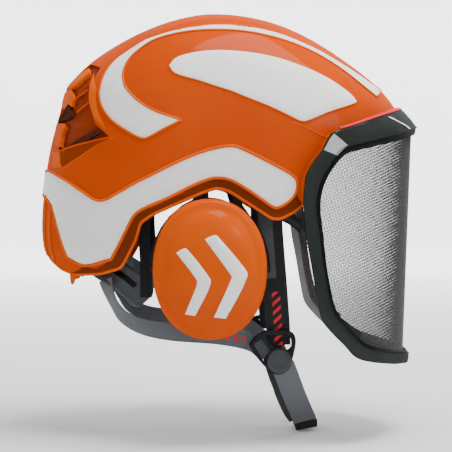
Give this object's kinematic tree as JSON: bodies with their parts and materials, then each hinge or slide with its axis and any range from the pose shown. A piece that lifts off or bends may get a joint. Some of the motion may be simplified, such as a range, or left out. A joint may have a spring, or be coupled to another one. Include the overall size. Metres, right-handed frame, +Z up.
{
  "type": "hard hat",
  "caption": "Forestry hard hat with a two-part shell, swing-up mesh visor, hinged ear muffs, ratchet headband and a chin strap with a buckle.",
  "frame": {"origin": "on the mid-plane, at the centre of the head opening", "axes": "+X forward, the way the wearer looks; +Y to the wearer's left; +Z up"},
  "size_m": [0.2979, 0.236, 0.329],
  "materials": {
    "shell_orange": "glossy moulded orange shell with white panels",
    "vent_orange": "shaded orange louvres",
    "black_plastic": "satin black moulding",
    "visor_black": "semi-gloss dark green-black",
    "wire_mesh": "fine woven wire, grey",
    "red_seal": "matt red rubber",
    "foam": "dark foam",
    "cushion_skin": "soft black skin over foam",
    "grey_plastic": "satin grey moulding",
    "black_webbing": "woven black webbing",
    "grey_webbing": "woven grey webbing",
    "steel": "plain steel"
  },
  "bodies": {
    "helmet": {"crown_shell": "shell_orange", "side_shell": "shell_orange", "vent_insert": "vent_orange", "impact_liner": "foam", "headband": "black_plastic", "brow_pad": "foam", "crown_strap_cross": "black_webbing", "crown_strap_long": "black_webbing", "hanger_front_right": "black_plastic", "hanger_front_left": "black_plastic", "hanger_rear_right": "black_plastic", "hanger_rear_left": "black_plastic", "side_carrier_right": "black_plastic", "side_carrier_left": "black_plastic", "visor_hub_right": "steel", "visor_hub_left": "steel", "muff_hinge_pin_right": "steel", "muff_hinge_pin_left": "steel", "cradle_arm_right": "black_plastic", "cradle_arm_left": "black_plastic", "front_strap_right": "black_webbing", "front_strap_left": "black_webbing", "strap_guard_right": "grey_plastic", "strap_guard_left": "grey_plastic", "rear_strap_right": "grey_webbing", "rear_strap_left": "grey_webbing", "strap_divider_right": "grey_plastic", "strap_divider_left": "grey_plastic", "divider_cap_right": "grey_plastic", "divider_cap_left": "grey_plastic", "lower_strap_right": "grey_webbing", "lower_strap_left": "grey_webbing", "nape_cradle": "grey_plastic", "nape_pad": "foam", "ratchet_housing": "black_plastic", "buckle_body": "black_plastic", "buckle_tongue": "black_plastic"},
    "visor": {"visor_frame": "visor_black", "visor_mesh": "wire_mesh", "brow_seal": "red_seal", "visor_arm_right": "visor_black", "visor_arm_left": "visor_black", "visor_screw_right": "steel", "visor_screw_left": "steel"},
    "muff_right": {"muff_yoke_right": "black_plastic", "cup_pin_front_right": "steel", "cup_pin_rear_right": "steel"},
    "muff_left": {"muff_yoke_left": "black_plastic", "cup_pin_front_left": "steel", "cup_pin_rear_left": "steel"},
    "cup_right": {"cup_shell_right": "shell_orange", "cup_foam_right": "foam", "ear_cushion_right": "cushion_skin"},
    "cup_left": {"cup_shell_left": "shell_orange", "cup_foam_left": "foam", "ear_cushion_left": "cushion_skin"},
    "knob": {"ratchet_knob": "black_plastic", "ratchet_pinion": "grey_plastic"},
    "button": {"buckle_button": "red_seal"}
  },
  "joints": [
    {"name": "visor_swing", "type": "hinge", "parent": "helmet", "child": "visor", "pos_m": [0.022, 0, 0.036], "axis": [0, -1, 0], "range_deg": [0, 52]},
    {"name": "muff_swing_right", "type": "hinge", "parent": "helmet", "child": "muff_right", "pos_m": [0.0025, -0.0905, 0.03], "axis": [-1, 0, 0], "range_deg": [0, 12]},
    {"name": "muff_swing_left", "type": "hinge", "parent": "helmet", "child": "muff_left", "pos_m": [0.0025, 0.0905, 0.03], "axis": [1, 0, 0], "range_deg": [0, 12]},
    {"name": "cup_tilt_right", "type": "hinge", "parent": "muff_right", "child": "cup_right", "pos_m": [0.0025, -0.0924, -0.0394], "axis": [1, 0, 0], "range_deg": [-2.5, 8]},
    {"name": "cup_tilt_left", "type": "hinge", "parent": "muff_left", "child": "cup_left", "pos_m": [0.0025, 0.0924, -0.0394], "axis": [-1, 0, 0], "range_deg": [-2.5, 8]},
    {"name": "knob_turn", "type": "hinge", "parent": "helmet", "child": "knob", "pos_m": [-0.097, 0, -0.03], "axis": [1, 0, 0], "range_deg": [-180, 180]},
    {"name": "buckle_press", "type": "slide", "parent": "helmet", "child": "button", "axis": [0, 0, -1], "range_m": [0, 0.0012], "stiffness_N_per_m": 300}
  ]
}
